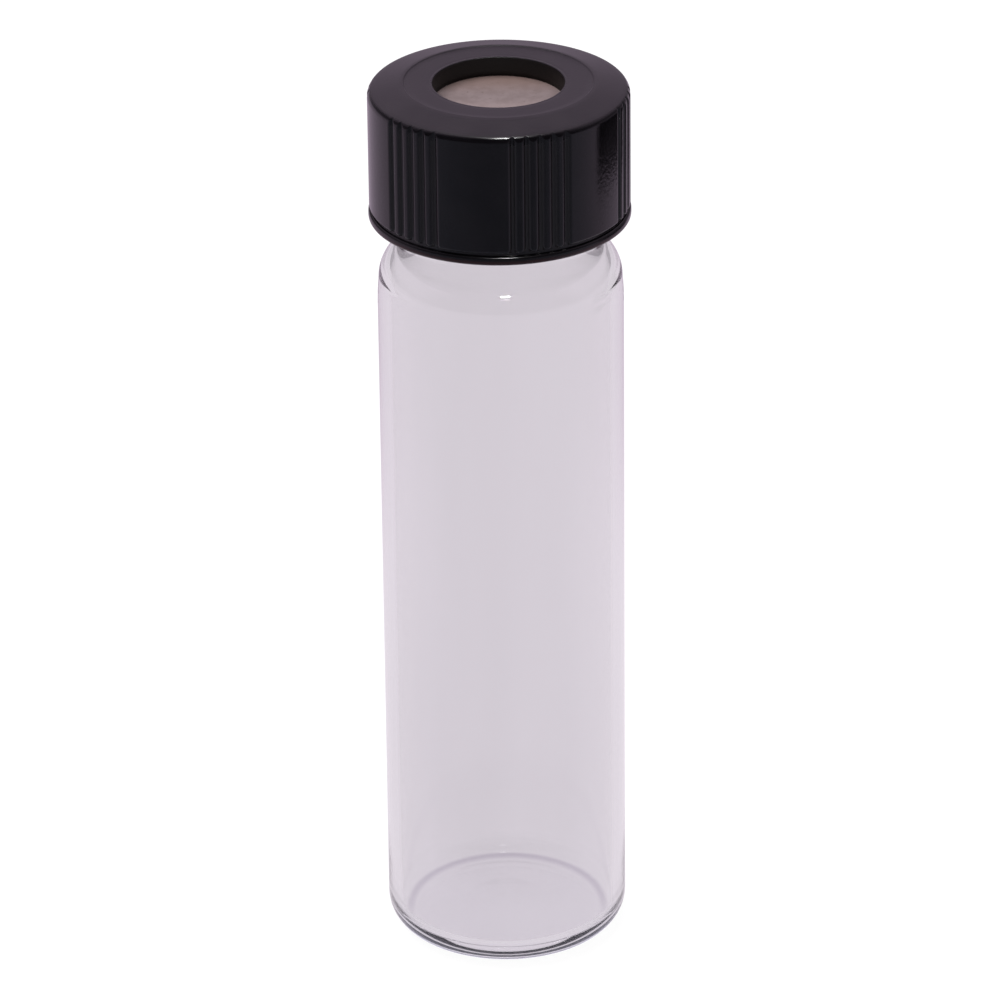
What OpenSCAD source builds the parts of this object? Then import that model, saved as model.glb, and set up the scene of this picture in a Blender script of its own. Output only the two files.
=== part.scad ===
// Screw-thread glass sample vial with an open-top closure and a flat septum.
// Millimetres, +Z up, origin on the axis at the foot of the glass.

/* [View] */
// which piece to show

/* [Vial body] */
// outer diameter of the glass tube
body_d = 23.2; // [22.8:0.1:24.0]
// height of the glass from foot to rim
glass_h = 85.0; // [75:1:120]
// wall thickness of the tube
wall_t = 1.2; // [1.0:0.1:1.4]
// thickness of the floor where it meets the heel
floor_t = 1.8; // [1.2:0.1:2.2]
// radius of the rounded heel outside
heel_r = 2.9; // [2.4:0.1:3.6]
// radius of the corner between floor and wall inside
floor_corner_r = 1.6; // [0.8:0.1:2.2]
// rise of the shallow push-up under the foot
pushup_h = 0.4; // [0.2:0.1:0.7]
// width of the level ring that the glass stands on
foot_ring_w = 0.6; // [0.3:0.1:1.0]

/* [Vial shoulder] */
// drop from the rim to the crown of the shoulder
shoulder_drop = 12.8; // [12.5:0.1:14]
// radius of the shoulder outside
shoulder_r = 3.6; // [3.2:0.1:4.2]
// length over which the tube draws in before the shoulder
draw_in_l = 2.6; // [1.5:0.1:4]
// amount the tube draws in over that length
draw_in = 0.12; // [0.05:0.01:0.2]
// radius of the sweep from the shoulder into the neck outside
neck_sweep_r = 3.2; // [2.0:0.1:3.8]
// radius of the same sweep inside
bore_sweep_r = 3.5; // [2.4:0.1:4.5]

/* [Neck and thread] */
// diameter of the neck between the threads
neck_d = 17.7; // [17.4:0.1:17.9]
// wall thickness of the neck
neck_wall = 1.7; // [1.6:0.1:2.1]
// radius of the fire-polished rim
rim_r = 0.5; // [0.3:0.05:0.7]
// height of the glass thread above the neck
thread_depth = 1.1; // [0.95:0.05:1.15]
// rise of the thread in one turn, eight threads to the inch
pitch = 3.175; // [3.0:0.025:3.2]
// turns of thread on the glass
neck_turns = 1.5; // [1.2:0.1:1.6]
// width of the flat crest of the glass thread
neck_crest_w = 1.0; // [0.8:0.05:1.1]
// flank angle of both threads from the level
flank_angle = 30; // [25:1:30]
// depth of the middle of the top thread end below the rim
thread_lead = 1.9; // [1.8:0.1:2.2]

/* [Septum] */
// diameter of the septum disc
septum_d = 19.0; // [18.6:0.1:19.3]
// thickness of the septum between the rim and the closure
septum_t = 1.25; // [1.0:0.05:1.6]
// bevel round both faces of the septum
septum_bevel = 0.1; // [0.05:0.05:0.2]

/* [Cap] */
// thickness of the skirt from its bore to the tops of the ribs
cap_wall = 2.05; // [1.9:0.05:2.4]
// height of the closure from skirt foot to the rim of the hole
cap_h = 13.3; // [13.0:0.1:13.8]
// thickness of the top panel at the hole
panel_t = 1.9; // [1.6:0.1:2.4]
// diameter of the open hole over the septum
hole_d = 12.3; // [11:0.1:13.2]
// rounding of the upper edge of the hole
hole_edge_r = 0.12; // [0.05:0.01:0.2]
// diameter of the step that rings the level middle of the top
ring_d = 17.6; // [16.5:0.1:18.5]
// height of that step
ring_step = 0.1; // [0.05:0.01:0.2]
// drop of the sloping rim of the top from the step to the edge
top_slope_drop = 0.65; // [0.4:0.05:0.8]
// distance of the crease round the top inside the outer face
crease_in = 0.35; // [0.35:0.05:0.6]
// radius of the rounding over the top of the ribs
top_round_r = 0.9; // [0.8:0.05:1.2]
// angle at which the tightened closure comes to rest
cap_rest_angle = 18; // [0:1:59]

/* [Cap grip] */
// number of rib groups round the skirt
rib_groups = 6; // [4:1:6]
// grooves in one group
grooves_per_group = 5; // [3:1:5]
// angle from one groove to the next
groove_pitch = 6.2; // [5.8:0.1:6.5]
// depth of a groove
groove_depth = 0.3; // [0.2:0.02:0.34]
// radius of the hollow along the floor of a groove
groove_floor_r = 0.2; // [0.15:0.01:0.25]
// rounding along both edges of every rib
rib_round_r = 0.45; // [0.3:0.05:0.5]
// rounding at the corners of the feet of the ribs
rib_foot_r = 0.42; // [0.3:0.02:0.46]
// rounding of the lower edge of the ribs and panels, seen from the side
toe_r = 0.25; // [0.1:0.05:0.3]
// height of the bead round the foot of the skirt
bead_h = 0.9; // [0.7:0.1:1.2]
// amount the bead stands out past the ribs
bead_out = 0.08; // [0.04:0.01:0.15]
// rounding of both edges of the bead
bead_round_r = 0.3; // [0.1:0.05:0.35]
// height of the relief between the bead and the feet of the ribs
relief_h = 0.28; // [0.2:0.02:0.4]

/* [Cap hollow] */
// height of the wider mouth at the foot of the skirt
mouth_h = 1.0; // [0.6:0.1:1.5]
// amount the mouth is wider than the bore all round
mouth_out = 0.35; // [0.2:0.05:0.45]
// depth of the septum's seat below the rim of the glass
seat_depth = 0.9; // [0.6:0.1:1.1]
// width of the flat crest of the closure thread
cap_crest_w = 0.7; // [0.5:0.05:0.75]
// turns of thread inside the closure
cap_turns = 1.5; // [1.2:0.1:1.6]

/* [Fits] */
// gap round the septum inside the closure
septum_gap = 0.3; // [0.2:0.05:0.4]
// gap between the glass thread and the bore of the closure
bore_gap = 0.25; // [0.2:0.05:0.35]
// gap between the closure thread and the neck
crest_gap = 0.3; // [0.2:0.05:0.35]
// gap left along the loaded flank of the thread
flank_gap = 0.06; // [0.04:0.01:0.12]

/* [Hidden] */

body_r = body_d / 2;
bore_r = body_r - wall_t;
neck_r = neck_d / 2;
neck_bore_r = neck_r - neck_wall;
thread_r = neck_r + thread_depth;

shoulder_z = glass_h - shoulder_drop;
shoulder_c = [body_r - draw_in - shoulder_r, shoulder_z - shoulder_r];
draw_in_z = shoulder_c[1] - draw_in_l;
draw_in_r = (draw_in_l * draw_in_l + draw_in * draw_in) / (2 * draw_in);
inner_shoulder_r = shoulder_r - wall_t;
inner_shoulder_c = [bore_r - inner_shoulder_r, shoulder_c[1]];

foot_r = body_r - heel_r;
pushup_r = foot_r - foot_ring_w;

septum_z = glass_h;
panel_z = septum_z + septum_t;
rim_z = panel_z + panel_t;
skirt_z = rim_z - cap_h;
crown_z = rim_z + ring_step;
edge_z = crown_z - top_slope_drop;

cap_bore_r = thread_r + bore_gap;
cap_crest_r = neck_r + crest_gap;
septum_bore_r = septum_d / 2 + septum_gap;
mouth_r = cap_bore_r + mouth_out;
mouth_z = skirt_z + mouth_h;
seat_z = septum_z - seat_depth;

cap_r = cap_bore_r + cap_wall;
top_edge_r = cap_r - crease_in;
round_in = top_round_r - crease_in;
side_z = edge_z - sqrt(top_round_r * top_round_r - round_in * round_in);
groove_r = cap_r - groove_depth;
bead_r = cap_r + bead_out;
relief_z = skirt_z + bead_h;
rib_z = relief_z + relief_h;

wave_r = groove_floor_r + rib_round_r;
groove_half_w = sqrt(groove_depth * (2 * wave_r - groove_depth));
waist_r = groove_r + groove_floor_r * groove_depth / wave_r;
waist_half_w = groove_half_w * groove_floor_r / wave_r;
foot_half_w = waist_half_w + rib_foot_r;

slope = tan(flank_angle);
neck_root_w = neck_crest_w + 2 * (thread_r - neck_r) * slope;
cap_root_w = cap_crest_w + 2 * (cap_bore_r - cap_crest_r) * slope;
flank_reach = (neck_crest_w + cap_crest_w) / 2 + (thread_r - cap_crest_r) * slope;
neck_thread_z = glass_h - thread_lead - pitch * neck_turns;
cap_thread_z = neck_thread_z - flank_reach - flank_gap;

// depth that a thread's root is sunk into its wall
bite = 0.3;
// turns from where the helix passes angle 0 to where the closure thread starts
cap_thread_start = (mouth_z + cap_root_w / 2 + bite * slope - cap_thread_z) / pitch;
// cross-sections in one turn of a thread
thread_steps = 54;
// turns over which a thread swells to its full depth
fade = 0.18;
// share of the full depth at the very ends of a thread
end_share = 0.04;
// length that a cutter reaches past the face it cuts
past = 1;
// overlap that joins two shapes of one outline
eps = 0.01;

$fn = 96;

// share of the full depth that a thread has at a place along it, nothing at its very ends
function swell(along, turns) = max(0, sin(90 * min(1, along / fade, (turns - along) / fade)));

// one cross-section of a thread, root side first; t counts turns from angle 0, where its helix is at z0
function thread_section(t, z0, share, root_r, crest_r, root_w, crest_w) =
    let (k = end_share + (1 - end_share) * share,
         out = crest_r > root_r ? 1 : -1,
         inner = root_r - out * bite,
         top = root_r + (crest_r - root_r) * k,
         half_top = (root_w + (crest_w - root_w) * k) / 2,
         half_in = root_w / 2 + bite * slope,
         z = z0 + pitch * t,
         a = 360 * t)
    [for (p = [[inner, -half_in], [top, -half_top], [top, half_top], [inner, half_in]])
        [p[0] * cos(a), p[0] * sin(a), z + p[1]]];

// a raised right-hand thread that swells from nothing and fades away again
module thread(z0, start, turns, root_r, crest_r, root_w, crest_w) {
    n = round(thread_steps * turns);
    rows = [for (i = [0:n])
        let (along = turns * i / n)
        thread_section(start + along, z0, swell(along, turns), root_r, crest_r, root_w, crest_w)];
    points = [for (row = rows) for (p = row) p];
    outward = crest_r > root_r;
    sides = [for (i = [0:n - 1]) for (j = [0:3])
        let (a = 4 * i + j, b = 4 * i + (j + 1) % 4, c = b + 4, d = a + 4)
        for (f = [[a, b, c], [a, c, d]]) outward ? f : [f[2], f[1], f[0]]];
    ends = [[0, 1, 2], [0, 2, 3], [4 * n + 2, 4 * n + 1, 4 * n], [4 * n + 3, 4 * n + 2, 4 * n]];
    caps = [for (f = ends) outward ? [f[2], f[1], f[0]] : f];
    polyhedron(points = points, faces = concat(sides, caps), convexity = 6);
}

// the rise of the floor, half section: two equal arcs that lie level at the axis and at the foot ring
module push_up() {
    bend_r = (pushup_r * pushup_r + pushup_h * pushup_h) / (4 * pushup_h);
    intersection() {
        translate([0, pushup_h - bend_r]) circle(r = bend_r, $fn = 400);
        square([pushup_r / 2, pushup_h]);
    }
    difference() {
        translate([pushup_r / 2 - eps, 0]) square([pushup_r / 2 + eps, pushup_h / 2]);
        translate([pushup_r, bend_r]) circle(r = bend_r, $fn = 400);
    }
}

// the sweep that leads from a shoulder arc into a straight neck above it, half section
module sweep(neck_x, sweep_r, arc_c, arc_r) {
    low_c = [min(arc_c[0], neck_x + sweep_r), arc_c[1]];
    rise = sqrt(pow(arc_r + sweep_r, 2) - pow(neck_x + sweep_r - low_c[0], 2));
    high_c = [neck_x + sweep_r, arc_c[1] + rise];
    touch = low_c + (high_c - low_c) * arc_r / (arc_r + sweep_r);
    difference() {
        polygon([[neck_x - eps, high_c[1]], high_c, touch, [neck_x - eps, touch[1]]]);
        translate(high_c) circle(r = sweep_r);
    }
}

// the glass outline seen from outside, half section
module glass_outer() {
    difference() {
        union() {
            translate([0, heel_r]) square([body_r, draw_in_z - heel_r]);
            translate([foot_r, heel_r]) circle(r = heel_r);
            square([foot_r, heel_r + eps]);
            intersection() {
                translate([0, draw_in_z - eps]) square([body_r, shoulder_z - draw_in_z]);
                translate([body_r - draw_in_r, draw_in_z]) circle(r = draw_in_r, $fn = 400);
                union() {
                    square([body_r, shoulder_c[1]]);
                    translate(shoulder_c) circle(r = shoulder_r);
                    square([shoulder_c[0], shoulder_z]);
                }
            }
            translate([0, shoulder_c[1]]) square([neck_r, glass_h - rim_r - shoulder_c[1]]);
            translate([neck_r - rim_r, glass_h - rim_r]) circle(r = rim_r);
            translate([0, glass_h - rim_r - eps]) square([neck_r - rim_r, rim_r + eps]);
            sweep(neck_r, neck_sweep_r, shoulder_c, shoulder_r);
        }
        push_up();
    }
}

// the hollow inside the glass, half section
module glass_inner() {
    difference() {
        union() {
            translate([0, floor_t + floor_corner_r])
                square([bore_r, shoulder_c[1] - floor_t - floor_corner_r]);
            translate([bore_r - floor_corner_r, floor_t + floor_corner_r]) circle(r = floor_corner_r);
            translate([0, floor_t]) square([bore_r - floor_corner_r, floor_corner_r + eps]);
            intersection() {
                translate(inner_shoulder_c) circle(r = inner_shoulder_r);
                translate([0, shoulder_c[1] - eps]) square([bore_r, inner_shoulder_r + 2 * eps]);
            }
            translate([0, shoulder_c[1] - eps]) square([inner_shoulder_c[0], inner_shoulder_r + eps]);
            translate([0, shoulder_c[1]]) square([neck_bore_r, glass_h + past - shoulder_c[1]]);
            sweep(neck_bore_r, bore_sweep_r, inner_shoulder_c, inner_shoulder_r);
            difference() {
                translate([neck_bore_r - eps, glass_h - rim_r]) square([rim_r + eps, rim_r + past]);
                translate([neck_bore_r + rim_r, glass_h - rim_r]) circle(r = rim_r);
            }
        }
        translate([0, floor_t]) push_up();
    }
}

// the glass: tube, heel, shoulder, neck and thread in one blown piece
module vial() {
    color([0.83, 0.81, 0.84, 0.4]) {
        rotate_extrude() difference() {
            glass_outer();
            glass_inner();
        }
        thread(neck_thread_z, 0, neck_turns, neck_r, thread_r, neck_root_w, neck_crest_w);
    }
}

// the flat disc held between the rim and the closure
module septum() {
    color([0.66, 0.58, 0.54]) translate([0, 0, septum_z]) {
        cylinder(r1 = septum_d / 2 - septum_bevel, r2 = septum_d / 2, h = septum_bevel);
        translate([0, 0, septum_bevel]) cylinder(d = septum_d, h = septum_t - 2 * septum_bevel);
        translate([0, 0, septum_t - septum_bevel])
            cylinder(r1 = septum_d / 2, r2 = septum_d / 2 - septum_bevel, h = septum_bevel);
    }
}

// the closure outline before the grip is cut, half section
module cap_outer() {
    difference() {
        union() {
            polygon([[0, skirt_z + bead_round_r], [cap_r, skirt_z + bead_round_r], [cap_r, side_z],
                [top_edge_r, edge_z], [ring_d / 2 + ring_step, crown_z], [ring_d / 2, rim_z], [0, rim_z]]);
            intersection() {
                translate([cap_r - top_round_r, side_z]) circle(r = top_round_r);
                translate([0, side_z]) square([cap_r, edge_z - side_z]);
            }
            translate([0, skirt_z + bead_round_r]) square([bead_r, bead_h - 2 * bead_round_r]);
            translate([0, skirt_z]) square([bead_r - bead_round_r, bead_h]);
            translate([bead_r - bead_round_r, skirt_z + bead_round_r]) circle(r = bead_round_r);
            translate([bead_r - bead_round_r, relief_z - bead_round_r]) circle(r = bead_round_r);
        }
        difference() {
            translate([groove_r, relief_z]) square([groove_depth + past, relief_h + toe_r]);
            translate([0, rib_z]) square([cap_r - toe_r, toe_r + past]);
            translate([cap_r - toe_r, rib_z + toe_r]) circle(r = toe_r);
        }
    }
}

// the hollow of the closure: hole, septum seat, threaded bore and wider mouth
module cap_inner() {
    translate([0, skirt_z - past]) square([hole_d / 2, cap_h + 2 * past]);
    difference() {
        translate([hole_d / 2 - eps, rim_z - hole_edge_r]) square([hole_edge_r + eps, hole_edge_r + past]);
        translate([hole_d / 2 + hole_edge_r, rim_z - hole_edge_r]) circle(r = hole_edge_r);
    }
    translate([0, seat_z]) square([septum_bore_r, panel_z - seat_z]);
    translate([0, skirt_z - past]) square([cap_bore_r, seat_z + past - skirt_z]);
    translate([0, skirt_z - past]) square([mouth_r, mouth_z + past - skirt_z]);
}

// the cross-section of one groove: a hollow that runs over into the rounded rib on each side
module groove_section() {
    translate([groove_r + groove_floor_r, 0]) circle(r = groove_floor_r, $fn = 24);
    difference() {
        translate([waist_r, -groove_half_w]) square([cap_r - waist_r + past, 2 * groove_half_w]);
        for (s = [-1, 1])
            translate([cap_r - rib_round_r, s * groove_half_w]) circle(r = rib_round_r, $fn = 32);
    }
}

// the widening foot of one groove, which rounds the feet of the ribs beside it
module groove_foot() {
    translate([groove_r, 0, rib_z]) rotate([90, 0, 90]) linear_extrude(groove_depth + past) difference() {
        translate([-foot_half_w, -relief_h / 2]) square([2 * foot_half_w, rib_foot_r + relief_h / 2]);
        for (s = [-1, 1]) translate([s * foot_half_w, rib_foot_r]) circle(r = rib_foot_r, $fn = 32);
    }
}

// the moulded open-top closure: panel, ribbed skirt, bead and internal thread
module cap() {
    color([0.09, 0.085, 0.1]) {
        difference() {
            rotate_extrude() difference() {
                cap_outer();
                cap_inner();
            }
            for (g = [0:rib_groups - 1]) for (k = [0:grooves_per_group - 1])
                rotate([0, 0, cap_rest_angle - 90 + 360 * g / rib_groups
                        + groove_pitch * (k - (grooves_per_group - 1) / 2)]) {
                    translate([0, 0, rib_z - relief_h / 2])
                        linear_extrude(edge_z - rib_z + relief_h / 2) groove_section();
                    groove_foot();
                }
        }
        thread(cap_thread_z, cap_thread_start, cap_turns, cap_bore_r, cap_crest_r, cap_root_w, cap_crest_w);
    }
}

vial();
septum();
cap();
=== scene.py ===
# Clear glass sample vial with a septum and a black open-top screw closure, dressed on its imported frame.
import math
import bpy
import numpy as np
from mathutils import Matrix


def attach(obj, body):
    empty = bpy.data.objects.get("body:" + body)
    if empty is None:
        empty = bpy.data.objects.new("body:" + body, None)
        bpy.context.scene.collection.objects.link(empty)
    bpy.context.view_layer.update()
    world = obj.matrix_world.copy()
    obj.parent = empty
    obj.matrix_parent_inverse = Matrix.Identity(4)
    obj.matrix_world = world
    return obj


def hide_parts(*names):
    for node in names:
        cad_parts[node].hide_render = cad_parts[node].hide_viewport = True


mm = 0.001
turn = 2 * math.pi
hair = 0.001  # millimetres, for telling whether a point of a section lies on a wall or a level

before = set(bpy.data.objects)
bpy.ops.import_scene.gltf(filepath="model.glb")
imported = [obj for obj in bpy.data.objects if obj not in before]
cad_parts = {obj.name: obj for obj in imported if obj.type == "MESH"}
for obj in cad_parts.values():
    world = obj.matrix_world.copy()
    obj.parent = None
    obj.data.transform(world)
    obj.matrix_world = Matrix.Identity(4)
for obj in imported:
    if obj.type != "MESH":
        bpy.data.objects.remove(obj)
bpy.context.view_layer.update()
scene = bpy.context.scene
print("frame loaded:", ", ".join(sorted(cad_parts)))


class Wire:
    # one output socket; arithmetic on wires and numbers adds Math nodes to the same material
    def __init__(self, sheet, out):
        self.sheet = sheet
        self.out = out

    def math(self, operation, first, second=0.0):
        return self.sheet.node("ShaderNodeMath", {"operation": operation}, {0: first, 1: second})[0]

    def __add__(self, other):
        return self.math("ADD", self, other)

    def __radd__(self, other):
        return self.math("ADD", other, self)

    def __sub__(self, other):
        return self.math("SUBTRACT", self, other)

    def __rsub__(self, other):
        return self.math("SUBTRACT", other, self)

    def __mul__(self, other):
        return self.math("MULTIPLY", self, other)

    def __rmul__(self, other):
        return self.math("MULTIPLY", other, self)

    def __truediv__(self, other):
        return self.math("DIVIDE", self, other)

    def __rtruediv__(self, other):
        return self.math("DIVIDE", other, self)

    def __pow__(self, other):
        return self.math("POWER", self, other)

    def __rpow__(self, other):
        return self.math("POWER", other, self)

    def __abs__(self):
        return self.math("ABSOLUTE", self)

    def most(self, other):
        return self.math("MAXIMUM", self, other)

    def step(self, zone):
        # 0 before the zone's first number, 1 past its second and a smooth S between; the first may be the
        # larger, and then the step rises towards smaller values
        start, full = zone
        values = {"Value": self, "From Min": start, "From Max": full, "To Min": 0.0, "To Max": 1.0}
        if start > full:
            values.update({"From Min": full, "From Max": start, "To Min": 1.0, "To Max": 0.0})
        return self.sheet.node("ShaderNodeMapRange", {"interpolation_type": "SMOOTHSTEP"}, values)["Result"]


class Made:
    # a node whose outputs are read by name or number as wires
    def __init__(self, sheet, node):
        self.sheet = sheet
        self.node = node

    def __getitem__(self, key):
        return Wire(self.sheet, self.node.outputs[key])


class Sheet:
    # one node tree, which nodes are added to through the method node
    def __init__(self, tree):
        self.tree = tree
        self.tree.nodes.clear()

    def feed(self, socket, value):
        # a wire is linked to the socket and a number, vector or colour is set on it
        if isinstance(value, Wire):
            self.tree.links.new(value.out, socket)
        else:
            socket.default_value = value

    def node(self, kind, settings=None, values=None):
        made = self.tree.nodes.new(kind)
        for name, value in (settings or {}).items():
            setattr(made, name, value)
        for key, value in (values or {}).items():
            self.feed(made.inputs[key], value)
        return Made(self, made)

    def place(self, scale=(1.0, 1.0, 1.0)):
        # object coordinates in metres, stretched to suit a pattern
        where = self.node("ShaderNodeTexCoord")["Object"]
        return self.node("ShaderNodeMapping", {}, {"Vector": where, "Scale": scale})["Vector"]

    def parts(self, vector):
        split = self.node("ShaderNodeSeparateXYZ", {}, {"Vector": vector})
        return split["X"], split["Y"], split["Z"]

    def noise(self, vector, grade):
        # a grade is the noise's scale, detail and roughness
        scale, detail, roughness = grade
        values = {"Vector": vector, "Scale": scale, "Detail": detail, "Roughness": roughness}
        return self.node("ShaderNodeTexNoise", {}, values)["Fac"]

    def blend(self, factor, first, second):
        # a colour between two, each a wire or three numbers
        made = self.node("ShaderNodeMix", {"data_type": "RGBA"}, {"Factor": factor})
        colourSockets = (6, 7)
        for key, colour in zip(colourSockets, (first, second)):
            self.feed(made.node.inputs[key], colour if isinstance(colour, Wire) else (*colour, 1.0))
        colourOut = 2
        return made[colourOut]

    def bump(self, height, strength, distance):
        values = {"Height": height, "Strength": strength, "Distance": distance}
        return self.node("ShaderNodeBump", {}, values)["Normal"]

    def glow(self, colour, strength):
        return self.node("ShaderNodeEmission", {}, {"Color": colour, "Strength": strength})["Emission"]

    def mixed(self, factor, first, second):
        return self.node("ShaderNodeMixShader", {}, {0: factor, 1: first, 2: second})["Shader"]

    def surface(self, values):
        shader = self.node("ShaderNodeBsdfPrincipled", {}, values)["BSDF"]
        self.node("ShaderNodeOutputMaterial", {}, {"Surface": shader})


def newMaterial(name):
    material = bpy.data.materials.new(name)
    material.use_nodes = True
    return material, Sheet(material.node_tree)


def arc(centre, radius, start, end, count):
    # points on a circle of the half section: centre plus radius times cosine and sine, from start to end in
    # degrees
    a = np.radians(np.linspace(start, end, count))
    return np.column_stack([centre[0] + radius * np.cos(a), centre[1] + radius * np.sin(a)])


def line(first, last, count):
    # evenly spaced points from first to last
    t = np.linspace(0, 1, count)[:, None]
    return np.asarray(first) * (1 - t) + np.asarray(last) * t


def joined(pieces):
    # the pieces of a half section end to end, with repeated points dropped
    points = np.vstack(pieces)
    samePoint = 1e-5
    apart = np.hypot(*np.diff(points, axis=0).T) > samePoint
    return points[np.concatenate([[True], apart])]


def turned(name, radius, height, angles, closed):
    # a surface of revolution on a grid: x is radius times cosine, y is radius times sine, z is height,
    # with one row for each point of the section and one column for each angle; an open section starts
    # and ends near the axis, and each end is closed with a fan to one point on it
    rows, columns = radius.shape
    ring = np.stack([radius * np.cos(angles), radius * np.sin(angles), height], axis=-1) * mm
    a = np.arange(rows if closed else rows - 1)[:, None]
    b = (a + 1) % rows
    c = np.arange(columns)[None, :]
    d = (c + 1) % columns
    quads = np.stack([a * columns + c, a * columns + d, b * columns + d, b * columns + c], axis=-1)
    points = ring.reshape(-1, 3)
    faces = quads.reshape(-1, 4).tolist()
    if not closed:
        first = len(points)
        poles = np.array([[0, 0, height[0].mean() * mm], [0, 0, height[-1].mean() * mm]])
        points = np.vstack([points, poles])
        k = np.arange(columns)
        n = (k + 1) % columns
        last = (rows - 1) * columns
        faces += np.column_stack([np.full(columns, first), n, k]).tolist()
        faces += np.column_stack([np.full(columns, first + 1), last + k, last + n]).tolist()
    mesh = bpy.data.meshes.new(name)
    mesh.from_pydata(points.tolist(), [], faces)
    mesh.validate()
    mesh.polygons.foreach_set("use_smooth", np.ones(len(mesh.polygons), bool))
    mesh.update()
    piece = bpy.data.objects.new(name, mesh)
    scene.collection.objects.link(piece)
    return piece


def helixBump(angles, height, thread):
    # how far a thread stands out at each grid point: its depth times a rounded trapezium of the distance
    # from the nearest turn of the helix z = start + pitch * turns, swelling and fading at both ends
    depth = np.zeros(np.broadcast(angles, height).shape)
    slope = math.tan(math.radians(thread["flank"]))
    halfFoot = thread["crest"] / 2 + thread["depth"] * slope
    for lap in range(-1, math.ceil(thread["turns"]) + 1):
        t = (angles % turn) / turn + lap
        inside = (t >= 0) & (t <= thread["turns"])
        swell = np.sin(np.pi / 2 * np.clip(np.minimum(t, thread["turns"] - t) / thread["fade"], 0, 1))
        away = np.abs(height - (thread["start"] + thread["pitch"] * t))
        rise = np.clip((halfFoot - away) / (thread["depth"] * slope), 0, 1)
        rounded = rise * rise * (3 - 2 * rise)
        rise = rounded * thread["rounding"] + rise * (1 - thread["rounding"])
        depth = np.maximum(depth, thread["depth"] * rise * np.where(inside, swell, 0))
    return depth


# In each piece's dictionary, lengths are in millimetres and angles in degrees, as in the part's own drawing,
# and rows are the points that each stretch of the section has. A zone, whose name ends in At, is in metres
# where it is a place: the finish starts at its first number and is full at its second. A grade is a noise's
# scale, detail and roughness.
glass = {
    "bodyR": 11.6, "wall": 1.2, "heelR": 2.9, "footRing": 0.6, "pushUp": 0.4, "floor": 1.8,
    "floorCornerR": 1.6, "shoulderZ": 72.2, "shoulderR": 3.6, "drawIn": 0.12, "drawInLength": 2.6,
    "sweepR": 3.2, "boreSweepR": 3.5, "neckR": 8.85, "neckBoreR": 7.15, "height": 85.0, "rimR": 0.5,
    "thread": {"start": 78.3375, "pitch": 3.175, "turns": 1.5, "depth": 1.1, "crest": 1.0, "flank": 30,
               "fade": 0.18, "rounding": 0.6},
    "columns": 252, "poleShare": 0.03,
    "rows": {"push": 18, "foot": 3, "heel": 28, "wall": 18, "drawIn": 8, "shoulder": 60, "sweep": 14,
             "neck": 80, "rim": 9, "neckBore": 6, "boreSweep": 16, "innerShoulder": 50, "bore": 14,
             "corner": 18, "floor": 3},
    "tint": (0.93, 0.925, 0.93), "paleTint": (0.95, 0.945, 0.95), "ior": 1.5,
    "heelRoughness": 0.1, "heelAcrossAt": (0.0094, 0.0098), "heelUpAt": (0.0019, 0.0015),
    "drawnStretch": (1.0, 1.0, 0.02), "drawnGrade": (520.0, 2.0, 0.5), "drawnShare": 0.5,
    "broadStretch": (1.0, 1.0, 0.12), "broadGrade": (120.0, 2.0, 0.5), "broadAt": (0.3, 0.7),
    "cords": 0.012, "cordHeight": 0.00003,
}


def pushedUp(g, reach, base):
    # the floor from near the axis out to reach: two equal arcs that lie level at both ends, the inner one
    # rounded up and the outer one hollow, each of radius (reach squared plus rise squared) over 4 rises
    rise = g["pushUp"]
    r = reach * np.linspace(g["poleShare"], 1, g["rows"]["push"])
    bend = (reach ** 2 + rise ** 2) / (4 * rise)
    crown = rise - bend + np.sqrt(bend ** 2 - r ** 2)
    brim = bend - np.sqrt(bend ** 2 - (reach - r) ** 2)
    return np.column_stack([r, base + np.where(r < reach / 2, crown, brim)])


def sweep(neckX, sweepR, shoulder, shoulderR):
    # the hollow arc that leaves the shoulder's arc without a corner and runs up into a straight neck: its
    # centre, and the angle at which the two arcs meet
    over = max(0, neckX + sweepR - shoulder[0])
    rise = math.sqrt((shoulderR + sweepR) ** 2 - over ** 2)
    return (neckX + sweepR, shoulder[1] + rise), math.degrees(math.atan2(rise, over))


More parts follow.
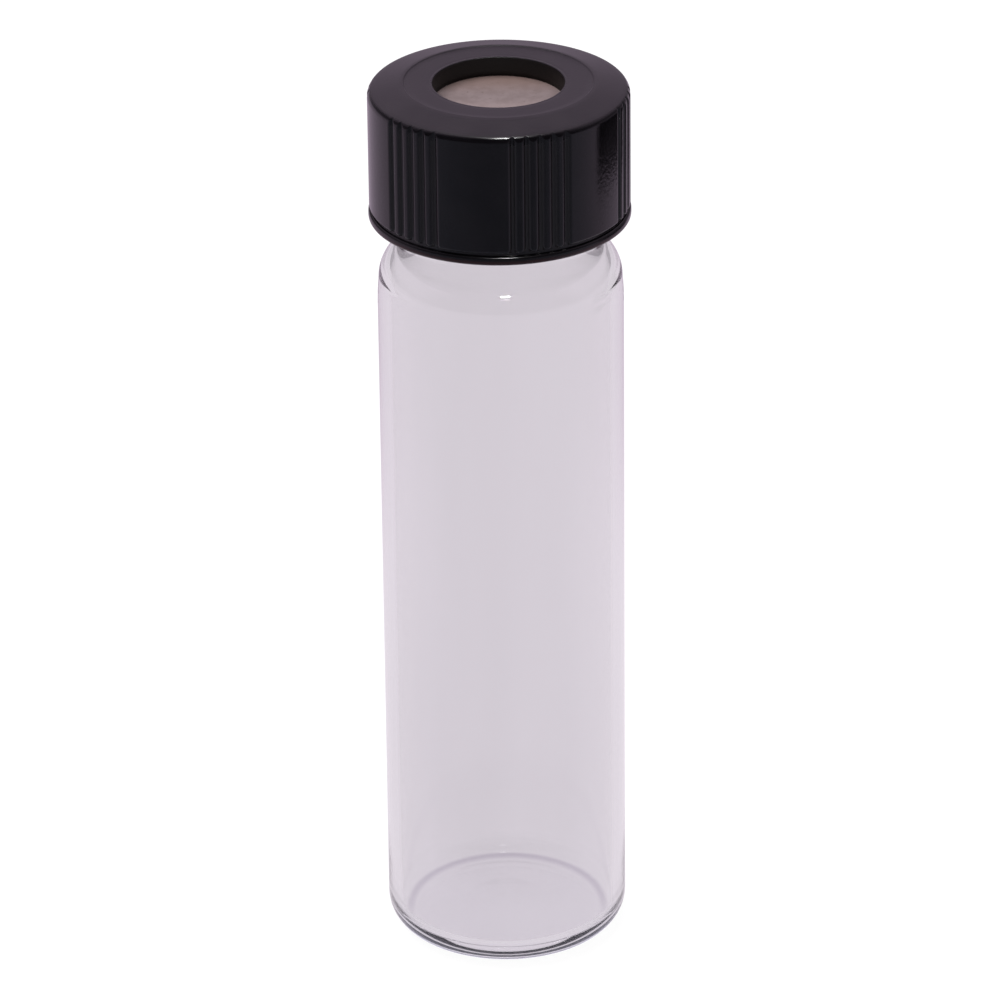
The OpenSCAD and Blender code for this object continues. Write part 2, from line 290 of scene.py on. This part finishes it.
def glassSection(g):
    # the whole half section, from the middle of the push-up round the outside and over the rim, then down
    # inside to the middle of the floor; the inner shoulder draws in beside the outer one
    n = g["rows"]
    footR = g["bodyR"] - g["heelR"]
    pushR = footR - g["footRing"]
    shoulder = (g["bodyR"] - g["drawIn"] - g["shoulderR"], g["shoulderZ"] - g["shoulderR"])
    drawZ = shoulder[1] - g["drawInLength"]
    drawR = (g["drawInLength"] ** 2 + g["drawIn"] ** 2) / (2 * g["drawIn"])
    drawA = math.degrees(math.asin(g["drawInLength"] / drawR))
    hollow, leave = sweep(g["neckR"], g["sweepR"], shoulder, g["shoulderR"])
    boreR = g["bodyR"] - g["wall"]
    innerR = g["shoulderR"] - g["wall"]
    inner = (boreR - g["drawIn"] - innerR, shoulder[1])
    bend, meet = sweep(g["neckBoreR"], g["boreSweepR"], inner, innerR)
    top = g["height"] - g["rimR"]
    corner = (boreR - g["floorCornerR"], g["floor"] + g["floorCornerR"])
    outside = joined([
        pushedUp(g, pushR, 0),
        line((pushR, 0), (footR, 0), n["foot"]),
        arc((footR, g["heelR"]), g["heelR"], -90, 0, n["heel"]),
        line((g["bodyR"], g["heelR"]), (g["bodyR"], drawZ), n["wall"]),
        arc((g["bodyR"] - drawR, drawZ), drawR, 0, drawA, n["drawIn"]),
        arc(shoulder, g["shoulderR"], 0, leave, n["shoulder"]),
        arc(hollow, g["sweepR"], 180 + leave, 180, n["sweep"]),
        line((g["neckR"], hollow[1]), (g["neckR"], top), n["neck"]),
        arc((g["neckR"] - g["rimR"], top), g["rimR"], 0, 90, n["rim"]),
    ])
    inside = joined([
        arc((g["neckBoreR"] + g["rimR"], top), g["rimR"], 90, 180, n["rim"]),
        line((g["neckBoreR"], top), (g["neckBoreR"], bend[1]), n["neckBore"]),
        arc(bend, g["boreSweepR"], 180, 180 + meet, n["boreSweep"]),
        arc(inner, innerR, meet, 0, n["innerShoulder"]),
        arc((boreR - drawR, drawZ), drawR, drawA, 0, n["drawIn"]),
        line((boreR, drawZ), (boreR, corner[1]), n["bore"]),
        arc(corner, g["floorCornerR"], 0, -90, n["corner"]),
        line((corner[0], g["floor"]), (pushR, g["floor"]), n["floor"]),
        pushedUp(g, pushR, g["floor"])[::-1],
    ])
    return outside, inside, hollow[1]


def makeGlass(g):
    # the section turned round the axis, with the thread added to the outside of the neck
    outside, inside, neckZ = glassSection(g)
    section = np.vstack([outside, inside])
    angles = np.linspace(0, turn, g["columns"], endpoint=False)[None, :]
    height = np.repeat(section[:, 1:], g["columns"], axis=1)
    radius = np.repeat(section[:, :1], g["columns"], axis=1)
    onNeck = (np.arange(len(section)) < len(outside)) & (section[:, 1] > neckZ)
    radius = radius + np.where(onNeck[:, None], helixBump(angles, height, g["thread"]), 0)
    return turned("glassVial", radius, height, angles, False)


def glassMaterial(g):
    # clear glass with faint cords drawn along the tube and a dull ring low on the heel
    material, s = newMaterial("clearGlass")
    x, y, z = s.parts(s.place())
    radius = (x * x + y * y) ** 0.5
    drawn = s.noise(s.place(g["drawnStretch"]), g["drawnGrade"])
    broad = s.noise(s.place(g["broadStretch"]), g["broadGrade"])
    tint = s.blend(broad.step(g["broadAt"]), g["tint"], g["paleTint"])
    normal = s.bump(drawn * g["drawnShare"] + broad, g["cords"], g["cordHeight"])
    rough = g["heelRoughness"] * radius.step(g["heelAcrossAt"]) * z.step(g["heelUpAt"])
    s.surface({"Base Color": tint, "Roughness": rough, "IOR": g["ior"], "Transmission Weight": 1.0,
               "Normal": normal})
    return material


septum = {
    "pale": (0.178, 0.137, 0.141), "dark": (0.152, 0.115, 0.117), "speck": (0.10, 0.075, 0.072),
    # the next line's two colours are painted: light, paler, for the front of the rubber, and shade, darker and
    # browner, for its back, where the hole's wall shades it
    "bright": (0.30, 0.228, 0.23), "brown": (0.150, 0.096, 0.080),
    "mottleGrade": (900.0, 4.0, 0.6), "mottleAt": (0.35, 0.65), "mottleRoughness": 0.1,
    "grainGrade": (5200.0, 3.0, 0.6), "grain": 0.4, "grainHeight": 0.00004,
    "speckGrade": (2600.0, 2.0, 0.5), "speckAt": (0.66, 0.72), "speckShare": 0.5,
    "frontAt": (0.001, -0.005), "frontShare": 0.8, "backAt": (0.001, 0.006), "backShare": 0.7,
    "roughness": 0.75, "specular": 0.3,
}


def septumMaterial(p):
    # matt tan rubber, mottled and specked, with painted light that makes it paler towards the front and
    # painted shade that makes it darker and browner towards the back, where the hole's wall shades it
    material, s = newMaterial("tanSeptum")
    where = s.place()
    mottle = s.noise(where, p["mottleGrade"])
    grain = s.noise(where, p["grainGrade"])
    specks = s.noise(where, p["speckGrade"]).step(p["speckAt"])
    y = s.parts(where)[1]
    colour = s.blend(mottle.step(p["mottleAt"]), p["dark"], p["pale"])
    # painted light makes the rubber paler towards the front, and painted shade makes it darker and browner
    # towards the back, under the hole's wall
    colour = s.blend(y.step(p["frontAt"]) * p["frontShare"], colour, p["bright"])
    colour = s.blend(y.step(p["backAt"]) * p["backShare"], colour, p["brown"])
    colour = s.blend(specks * p["speckShare"], colour, p["speck"])
    normal = s.bump(grain, p["grain"], p["grainHeight"])
    s.surface({"Base Color": colour, "Roughness": p["roughness"] + mottle * p["mottleRoughness"],
               "Normal": normal, "Specular IOR Level": p["specular"]})
    return material


closure = {
    "capR": 12.25, "rimZ": 88.15, "height": 13.3, "panel": 1.9, "holeR": 6.15, "holeEdge": 0.12, "ringR": 8.8,
    "ringStep": 0.1, "slopeDrop": 0.65, "edgeR": 11.9, "roundR": 0.9, "restAngle": 18, "groups": 6,
    "perGroup": 5, "groovePitch": 6.2, "grooveDepth": 0.3, "grooveRound": 0.2, "ribRound": 0.45,
    "toeR": 0.25, "ribFoot": 0.42, "beadHeight": 0.9, "beadOut": 0.07, "beadRound": 0.3, "relief": 0.28,
    "boreR": 10.2, "seatR": 9.8, "seatDepth": 0.9, "mouthR": 10.55, "mouthDepth": 1.0, "mouthChamfer": 0.1,
    "septumZ": 85.0, "crisp": 0.02, "lip": 0.004, "edgeEase": 2,
    "thread": {"start": 76.9656, "pitch": 3.175, "turns": 1.5, "depth": 1.05, "crest": 0.7, "flank": 30,
               "fade": 0.18, "rounding": 0.6},
    "grooveReach": 0.61, "grooveColumns": 21, "plainColumns": 10,
    "rows": {"hole": 4, "holeEdge": 6, "panel": 5, "step": 3, "slope": 7, "topEdge": 12, "rib": 12,
             "ribFoot": 5, "toe": 9, "ledge": 2, "relief": 4, "bead": 8, "chamfer": 3, "bore": 44, "seat": 3},
    "black": (0.0009, 0.0009, 0.0014), "worn": (0.0060, 0.0052, 0.0064), "wornShare": 0.35,
    "matt": (0.0175, 0.0136, 0.0182), "dusty": (0.0210, 0.0165, 0.0215),
    "grooveDust": (0.0075, 0.0068, 0.0080), "footBrown": (0.014, 0.0025, 0.0025),
    # painted shade: the hole's wall is made blacker than the rest of the plastic
    "holeBlack": (0.0002, 0.0002, 0.0002),
    "topRoughness": 0.40, "sideRoughness": 0.09, "cloudRoughness": 0.08, "holeRoughness": 0.55,
    "grooveRoughness": 0.32, "footRoughness": 0.2, "specular": 0.5,
    "holeAt": (0.00622, 0.00616), "topAt": (0.08735, 0.08762), "grooveAt": (0.01225, 0.01212),
    "grooveTopAt": (0.08695, 0.0866), "grooveFootAt": (0.0757, 0.0760), "brownAt": (0.07545, 0.07515),
    "footAt": (0.0758, 0.0756), "burrAcrossAt": (0.00645, 0.0063), "burrUpAt": (0.08795, 0.08803),
    "cloudGrade": (260.0, 3.0, 0.55), "patchAt": (0.3, 0.75), "peelGrade": (2600.0, 2.0, 0.5),
    "grainGrade": (5200.0, 3.0, 0.6), "grainShare": 0.4, "burrGrade": (5200.0, 2.0, 0.6),
    "burrShare": 10.0, "bumpStrength": 0.3, "bumpHeight": 0.00002,
}


def closureSection(c):
    # the outside half section from the hole's lower edge to the skirt's foot, then the inside back to the
    # hole; two points lie close together at each corner, which keeps it crisp under smooth shading
    n = c["rows"]
    crisp, lip, ledge = c["crisp"], c["lip"], n["ledge"]
    foot = c["rimZ"] - c["height"]
    panelZ = c["rimZ"] - c["panel"]
    crown = c["rimZ"] + c["ringStep"]
    edgeZ = crown - c["slopeDrop"]
    roundIn = c["edgeR"] - (c["capR"] - c["roundR"])
    sideZ = edgeZ - math.sqrt(c["roundR"] ** 2 - roundIn ** 2)
    edgeA = math.degrees(math.acos(roundIn / c["roundR"]))
    reliefZ = foot + c["beadHeight"]
    ribZ = reliefZ + c["relief"]
    grooveR = c["capR"] - c["grooveDepth"]
    beadR = c["capR"] + c["beadOut"]
    seatZ = c["septumZ"] - c["seatDepth"]
    mouthZ = foot + c["mouthDepth"]
    holeEdge, ringEnd, bead, toe = c["holeEdge"], c["ringR"] + c["ringStep"], c["beadRound"], c["toeR"]
    outside = joined([
        line((c["holeR"], panelZ), (c["holeR"], c["rimZ"] - holeEdge), n["hole"]),
        arc((c["holeR"] + holeEdge, c["rimZ"] - holeEdge), holeEdge, 180, 90, n["holeEdge"]),
        line((c["holeR"] + holeEdge, c["rimZ"]), (c["ringR"] - crisp, c["rimZ"]), n["panel"]),
        line((c["ringR"], c["rimZ"] + lip), (ringEnd, crown - lip), n["step"]),
        line((ringEnd + crisp, crown), (c["edgeR"] - crisp, edgeZ + lip), n["slope"]),
        arc((c["capR"] - c["roundR"], sideZ), c["roundR"], edgeA - c["edgeEase"], 0, n["topEdge"]),
        line((c["capR"], sideZ), (c["capR"], ribZ + c["ribFoot"] + 2 * crisp), n["rib"]),
        line((c["capR"], ribZ + c["ribFoot"] + crisp), (c["capR"], ribZ + toe), n["ribFoot"]),
        arc((c["capR"] - toe, ribZ + toe), toe, 0, -90, n["toe"]),
        line((grooveR + crisp, ribZ), (grooveR, ribZ - crisp), ledge),
        line((grooveR, ribZ - 1.5 * crisp), (grooveR, reliefZ + crisp), n["relief"]),
        line((grooveR + crisp, reliefZ), (beadR - bead, reliefZ), ledge),
        arc((beadR - bead, reliefZ - bead), bead, 90, 0, n["bead"]),
        arc((beadR - bead, foot + bead), bead, 0, -90, n["bead"]),
    ])
    chamfer = c["mouthChamfer"]
    inside = joined([
        line((c["mouthR"] + chamfer, foot), (c["mouthR"], foot + chamfer), n["chamfer"]),
        line((c["mouthR"], foot + chamfer + crisp), (c["mouthR"], mouthZ - crisp), ledge),
        line((c["mouthR"] - crisp, mouthZ), (c["boreR"], mouthZ), ledge),
        line((c["boreR"], mouthZ + crisp), (c["boreR"], seatZ), n["bore"]),
        line((c["boreR"] - crisp, seatZ + crisp / 2), (c["seatR"], seatZ + crisp / 2), ledge),
        line((c["seatR"], seatZ + 2.5 * crisp), (c["seatR"], panelZ - crisp), n["seat"]),
        line((c["seatR"] - crisp, panelZ), (c["holeR"] + crisp, panelZ), n["seat"]),
    ])
    return outside, inside, ribZ


def closureAngles(c):
    # columns crowd together across every groove and spread over the plain panels between the groups
    across = np.linspace(-c["grooveReach"], c["grooveReach"], c["grooveColumns"])
    middle = (c["perGroup"] - 1) / 2
    first = c["restAngle"] - 90
    groupPitch = 360 / c["groups"]
    grooves = [first + groupPitch * g + c["groovePitch"] * (k - middle)
               for g in range(c["groups"]) for k in range(c["perGroup"])]
    offsets = np.degrees(across / c["capR"])
    near = (np.array(grooves)[:, None] + offsets[None, :]).ravel()
    gapStart = grooves[c["perGroup"] - 1] + offsets[-1]
    gapEnd = grooves[0] + groupPitch + offsets[0]
    gap = np.linspace(gapStart, gapEnd, c["plainColumns"] + 2)[1:-1]
    plain = np.concatenate([gap + groupPitch * g for g in range(c["groups"])])
    return np.radians(np.sort(np.concatenate([near, plain]) % 360)), np.radians(np.array(grooves))


def grooveRadius(c, angles, height, grooves, ribZ):
    # the radius that the grooves leave at each angle and height: a hollow of one radius runs into the rounded
    # edge of the rib beside it, whose centre lies half a groove's width away; at the foot the groove widens
    # by a quarter circle; outside the grooves the radius is beyond any of the closure's
    away = np.abs((angles[None, :] - grooves[:, None] + math.pi) % turn - math.pi).min(axis=0) * c["capR"]
    a, b, depth = c["grooveRound"], c["ribRound"], c["grooveDepth"]
    half = math.sqrt(depth * (2 * (a + b) - depth))
    up = np.clip(height - ribZ, 0, c["ribFoot"])
    flare = c["ribFoot"] - np.sqrt(c["ribFoot"] ** 2 - (c["ribFoot"] - up) ** 2)
    away = np.clip(away[None, :] - flare[:, None], 0, None)
    floor = c["capR"] - depth + a - np.sqrt(np.clip(a ** 2 - away ** 2, 0, None))
    edge = c["capR"] - b + np.sqrt(np.clip(b ** 2 - (half - away) ** 2, 0, None))
    beyond = 2 * c["capR"]
    return np.where(away <= half * a / (a + b), floor, np.where(away < half, edge, beyond))


def makeClosure(c):
    # the section turned round the axis, with the grooves cut into the skirt and the thread added to the bore
    outside, inside, ribZ = closureSection(c)
    section = np.vstack([outside, inside])
    angles, grooves = closureAngles(c)
    height = np.repeat(section[:, 1:], len(angles), axis=1)
    radius = np.repeat(section[:, :1], len(angles), axis=1)
    row = np.arange(len(section))
    isOutside = row < len(outside)
    cut = isOutside & (section[:, 0] > c["capR"] - c["grooveDepth"]) & (section[:, 1] > ribZ - hair)
    limit = grooveRadius(c, angles, section[:, 1], grooves, ribZ)
    radius = np.where(cut[:, None], np.minimum(radius, limit), radius)
    onBore = ~isOutside & (np.abs(section[:, 0] - c["boreR"]) < hair)
    radius = radius - np.where(onBore[:, None], helixBump(angles[None, :], height, c["thread"]), 0)
    return turned("blackClosure", radius, height, angles[None, :], True)


def closureMaterial(c):
    # a glossy black skirt with orange peel, duller dusty grooves and a brownish foot, a matt grained top with
    # patches, a dull hole wall darkened with painted shade and a ragged burr round the hole's edge
    material, s = newMaterial("blackClosure")
    where = s.place()
    x, y, z = s.parts(where)
    radius = (x * x + y * y) ** 0.5
    hole = radius.step(c["holeAt"])
    top = z.step(c["topAt"]) * radius.step(c["holeAt"][::-1])
    groove = radius.step(c["grooveAt"]) * z.step(c["grooveTopAt"]) * z.step(c["grooveFootAt"])
    cloud = s.noise(where, c["cloudGrade"])
    peel = s.noise(where, c["peelGrade"])
    grain = s.noise(where, c["grainGrade"])
    patches = cloud.step(c["patchAt"])
    side = s.blend(patches * c["wornShare"], c["black"], c["worn"])
    side = s.blend(groove, side, c["grooveDust"])
    side = s.blend(z.step(c["brownAt"]), side, c["footBrown"])
    colour = s.blend(top, side, s.blend(patches, c["matt"], c["dusty"]))
    # painted shade: the hole's wall is made blacker than the rest of the plastic, as shade in the hole
    colour = s.blend(hole, colour, c["holeBlack"])
    rough = c["sideRoughness"] + top * (c["topRoughness"] - c["sideRoughness"])
    rough = rough + (cloud - 0.5) * c["cloudRoughness"]
    rough = rough + groove * (c["grooveRoughness"] - rough)
    rough = rough + hole * (c["holeRoughness"] - rough)
    rough = rough + z.step(c["footAt"]) * (c["footRoughness"] - rough)
    burr = radius.step(c["burrAcrossAt"]) * z.step(c["burrUpAt"]) * s.noise(where, c["burrGrade"])
    relief = peel + top * c["grainShare"] * grain + c["burrShare"] * burr
    normal = s.bump(relief, c["bumpStrength"], c["bumpHeight"])
    s.surface({"Base Color": colour, "Roughness": rough, "Specular IOR Level": c["specular"],
               "Normal": normal})
    return material


vial = makeGlass(glass)
vial.data.materials.append(glassMaterial(glass))
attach(vial, "glass")
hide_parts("vial")
print("glass made:", len(vial.data.polygons), "faces")

cap = makeClosure(closure)
cap.data.materials.append(closureMaterial(closure))
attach(cap, "closure")
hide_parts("cap")
print("closure made:", len(cap.data.polygons), "faces")

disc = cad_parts["septum"]
disc.data.materials.clear()
disc.data.materials.append(septumMaterial(septum))
print("septum finished")

# place in millimetres, angles in radians, and focus in pixels of a render that is frameWidth pixels wide
camera = {
    "place": (0.0, -572.6, 322.0), "pan": -0.0005, "tilt": 0.4505, "roll": -0.0110, "focus": 6653.0,
    "frameWidth": 1000, "sensor": 36.0, "nearest": 0.01, "farthest": 50.0,
}


def makeCamera(c):
    # forward from pan and tilt, right level with the ground, up square to both, and the two turned by the roll
    data = bpy.data.cameras.new("camera")
    data.sensor_width = c["sensor"]
    data.lens = c["focus"] / c["frameWidth"] * c["sensor"]
    data.clip_start = c["nearest"]
    data.clip_end = c["farthest"]
    level = math.cos(c["tilt"])
    forward = np.array([math.sin(c["pan"]) * level, math.cos(c["pan"]) * level, -math.sin(c["tilt"])])
    right = np.array([math.cos(c["pan"]), -math.sin(c["pan"]), 0.0])
    up = np.cross(right, forward)
    side = math.cos(c["roll"]) * right + math.sin(c["roll"]) * up
    top = -math.sin(c["roll"]) * right + math.cos(c["roll"]) * up
    made = bpy.data.objects.new("camera", data)
    scene.collection.objects.link(made)
    matrix = np.eye(4)
    matrix[:3, :3] = np.column_stack([side, top, -forward])
    matrix[:3, 3] = np.array(c["place"]) * mm
    made.matrix_world = Matrix(matrix.tolist())
    scene.camera = made


makeCamera(camera)

# Away is the distance from the axis in metres, facing is 1 at the front and -1 at the back, aside is 1 at
# either side, and up is 1 overhead and 0 at the horizon. Through is what is seen through glass, and gloss is
# what a shiny surface mirrors.
studio = {
    "floorHalf": 3.0, "floorDrop": 0.02, "floorColour": (0.78, 0.75, 0.78), "floorShow": 0.88,
    "floorGlow": 1.08, "white": (1.0, 1.0, 1.0), "bounces": 200,
    "throughFloor": (0.75, 0.705, 0.76), "shade": (0.56, 0.51, 0.59), "underShare": 0.2,
    "shadeStartAt": (0.0088, 0.0101), "shadeEndAt": (0.0114, 0.0103), "shadeBackAt": (0.4, -0.1),
    "underAt": (0.0098, 0.0088),
    "sideLight": 0.055, "sideAsideAt": (0.03, 0.35), "sideAwayAt": (0.04, 0.1),
    "nearGloss": 0.88, "nearFront": 0.3, "nearFrontAt": (-0.2, 0.9), "nearAwayAt": (0.022, 0.04),
    "farGloss": 0.55, "frontGloss": 0.15, "farFrontAt": (-0.6, 1.3), "farAwayAt": (0.06, 0.15),
    "patchGloss": 0.03, "patchRightAt": (0.0, 0.02), "patchFrontAt": (0.02, -0.12),
    "patchBackAt": (-0.78, -0.66), "patchAwayAt": (0.197, 0.2),
    "nearTint": (1.0, 0.92, 1.01), "glossTint": (1.0, 0.81, 1.02), "frontTint": (0.92, 0.9, 1.12),
    "frontTintAt": (-0.2, 0.8), "throughTint": (1.0, 0.93, 1.02),
    "worldLevel": 0.6, "glossSky": 0.32, "horizonGlow": 0.45, "horizonAt": (0.3, 0.0),
    "zenithShare": 0.4, "zenithAt": (0.6, 1.0), "sideDim": 0.7, "sideDimAt": (0.15, 0.4),
    "sideDimUpAt": (0.5, 0.2), "throughSky": 0.72, "throughHorizon": 0.45, "throughHorizonAt": (0.25, 0.1),
    "frontSky": 0.06, "frontSkyAt": (-0.1, 0.5), "tiny": 0.001,
}
lamps = [
    {"name": "overheadSoftbox", "place": (-0.2, 0.1, 0.8), "size": (0.7, 0.7), "power": 8.0,
     "inGloss": False},
    {"name": "frontLamp", "place": (0.0300, -0.276, 0.530), "size": (0.07, 0.024), "power": 1.3,
     "inGloss": True},
]
lampAim = (0.0, 0.0, 0.05)


def makeFloor(p):
    # the camera sees a pale floor with the object's shadow; gloss sees it grow dark away from the object and
    # towards the front, with a dark patch far off on the right; glass sees it evenly lit, with a soft contact
    # shade behind the foot, less of it under the foot, and a little more light at the sides; it lies a hair
    # below the foot, so that no ray meets both at once
    half = p["floorHalf"]
    low = -p["floorDrop"] * mm
    corners = [(-half, -half, low), (half, -half, low), (half, half, low), (-half, half, low)]
    mesh = bpy.data.meshes.new("floor")
    mesh.from_pydata(corners, [], [(0, 1, 2, 3)])
    floor = bpy.data.objects.new("floor", mesh)
    scene.collection.objects.link(floor)
    material, s = newMaterial("paleFloor")
    path = s.node("ShaderNodeLightPath")
    x, y = s.parts(s.place())[:2]
    away = (x * x + y * y) ** 0.5
    facing = (0.0 - y) / away.most(p["tiny"])
    aside = abs(x) / away.most(p["tiny"])

    shade = away.step(p["shadeStartAt"]) * away.step(p["shadeEndAt"]) * facing.step(p["shadeBackAt"])
    shade = shade.most(p["underShare"] * away.step(p["underAt"]))
    lit = 1.0 + p["sideLight"] * aside.step(p["sideAsideAt"]) * away.step(p["sideAwayAt"])
    through = s.glow(s.blend(shade, p["throughFloor"], p["shade"]), lit)

    far = p["farGloss"] + facing.step(p["farFrontAt"]) * (p["frontGloss"] - p["farGloss"])
    patch = x.step(p["patchRightAt"]) * facing.step(p["patchFrontAt"])
    patch = patch * facing.step(p["patchBackAt"]) * away.step(p["patchAwayAt"])
    far = far + patch * (p["patchGloss"] - far)
    near = facing.step(p["nearFrontAt"]) * away.step(p["nearAwayAt"])
    near = p["nearGloss"] + near * (p["nearFront"] - p["nearGloss"])
    spread = away.step(p["farAwayAt"])
    tint = s.blend(spread, p["nearTint"], p["glossTint"])
    tint = s.blend(facing.step(p["frontTintAt"]), tint, p["frontTint"])
    gloss = s.glow(tint, near + spread * (far - near))

    matt = s.node("ShaderNodeBsdfDiffuse", {}, {"Color": (*p["floorColour"], 1.0)})["BSDF"]
    white = s.glow((*p["white"], 1.0), p["floorGlow"])
    shown = s.mixed(path["Is Camera Ray"] * p["floorShow"], matt, white)
    shown = s.mixed(path["Is Glossy Ray"], shown, gloss)
    shown = s.mixed(path["Is Transmission Ray"], shown, through)
    s.node("ShaderNodeOutputMaterial", {}, {"Surface": shown})
    mesh.materials.append(material)


def makeWorld(p):
    # white to the camera and level for matt surfaces; gloss sees a glow at the horizon that dims towards the
    # zenith and low down at the sides, glass an even sky that dims at the horizon, and both a dark front
    world = bpy.data.worlds.new("studio")
    world.use_nodes = True
    scene.world = world
    s = Sheet(world.node_tree)
    path = s.node("ShaderNodeLightPath")
    x, y, z = s.parts(s.node("ShaderNodeTexCoord")["Generated"])
    through = path["Is Transmission Ray"]
    clear = through.most(path["Is Glossy Ray"])
    sky = p["glossSky"] + z.step(p["horizonAt"]) * p["horizonGlow"]
    sky = sky * (1.0 - z.step(p["zenithAt"]) * (1.0 - p["zenithShare"]))
    sky = sky * (1.0 - p["sideDim"] * abs(x).step(p["sideDimAt"]) * z.step(p["sideDimUpAt"]))
    seen = p["throughSky"] + z.step(p["throughHorizonAt"]) * (p["throughHorizon"] - p["throughSky"])
    sky = sky + through * (seen - sky)
    sky = sky + (0.0 - y).step(p["frontSkyAt"]) * (p["frontSky"] - sky)
    strength = p["worldLevel"] + clear * (sky - p["worldLevel"])
    strength = strength + path["Is Camera Ray"] * (1.0 - strength)
    colour = s.blend(clear, p["white"], s.blend(through, p["glossTint"], p["throughTint"]))
    back = s.node("ShaderNodeBackground", {}, {"Color": colour, "Strength": strength})
    s.node("ShaderNodeOutputWorld", {}, {"Surface": back["Background"]})


def makeLamp(p):
    # a soft rectangle that faces the object, unseen by the camera: one lights matt surfaces and the other only
    # shows as a small reflection in gloss and glass
    data = bpy.data.lights.new(p["name"], "AREA")
    data.shape = "RECTANGLE"
    data.size, data.size_y = p["size"]
    data.energy = p["power"]
    lamp = bpy.data.objects.new(p["name"], data)
    scene.collection.objects.link(lamp)
    place = np.array(p["place"])
    away = place - np.array(lampAim)
    away = away / np.linalg.norm(away)
    side = np.cross([0.0, 0.0, 1.0], away)
    side = side / np.linalg.norm(side)
    matrix = np.eye(4)
    matrix[:3, :3] = np.column_stack([side, np.cross(away, side), away])
    matrix[:3, 3] = place
    lamp.matrix_world = Matrix(matrix.tolist())
    lamp.visible_camera = False
    lamp.visible_diffuse = not p["inGloss"]
    lamp.visible_glossy = p["inGloss"]
    lamp.visible_transmission = p["inGloss"]


makeFloor(studio)
makeWorld(studio)
for lamp in lamps:
    makeLamp(lamp)
scene.view_settings.view_transform = "Standard"
# light that is caught in the glass wall runs down it and out at the heel
scene.cycles.max_bounces = studio["bounces"]
scene.cycles.glossy_bounces = studio["bounces"]
scene.cycles.transmission_bounces = studio["bounces"]
print("stage, camera and lamps set")
